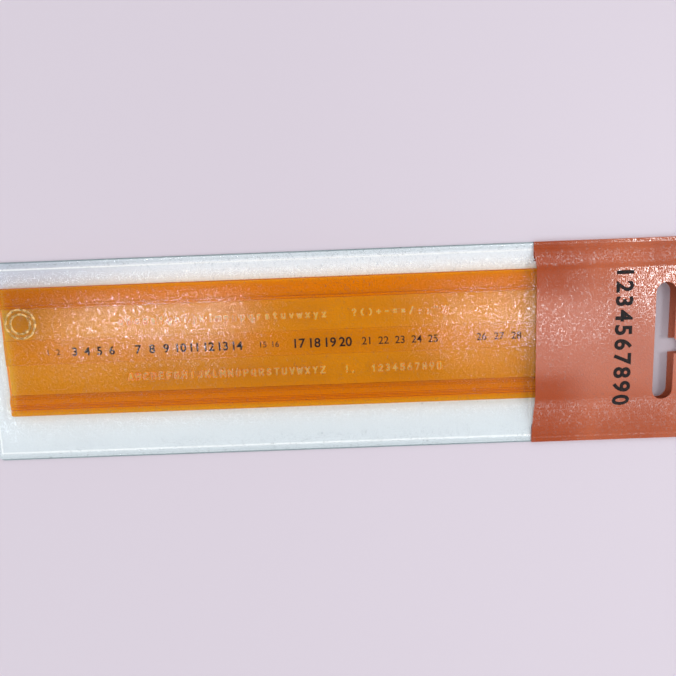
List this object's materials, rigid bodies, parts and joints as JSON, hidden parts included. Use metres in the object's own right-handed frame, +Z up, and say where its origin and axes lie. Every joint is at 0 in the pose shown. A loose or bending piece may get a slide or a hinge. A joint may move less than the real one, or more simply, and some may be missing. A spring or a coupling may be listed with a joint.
{
  "type": "lettering stencil in hanging wallet",
  "caption": "Clear orange lettering stencil with a milled alphabet, in a flat vinyl wallet whose coloured header has a hang slot.",
  "frame": {"origin": "centre of the wallet's underside", "axes": "+X along the wallet to the hanging end, +Y across it to the lower-case row, +Z up out of the front film"},
  "size_m": [0.214, 0.06, 0.0034],
  "materials": {
    "orange_plastic": "clear orange plastic, polished edges",
    "clear_film": "clear soft vinyl with an embossed leather grain",
    "pale_film": "milky soft vinyl",
    "salmon_vinyl": "salmon vinyl with an embossed leather grain, soft sheen",
    "black_ink": "printed ink"
  },
  "bodies": {
    "wallet": {"wallet_front_film": "clear_film", "wallet_back_film": "pale_film", "header_front_leaf": "salmon_vinyl", "header_back_leaf": "salmon_vinyl"},
    "stencil": {"stencil_plate": "orange_plastic"}
  },
  "joints": [
    {"name": "stencil_slide", "type": "slide", "parent": "wallet", "child": "stencil", "axis": [1, 0, 0], "range_m": [0, 0.19]}
  ]
}
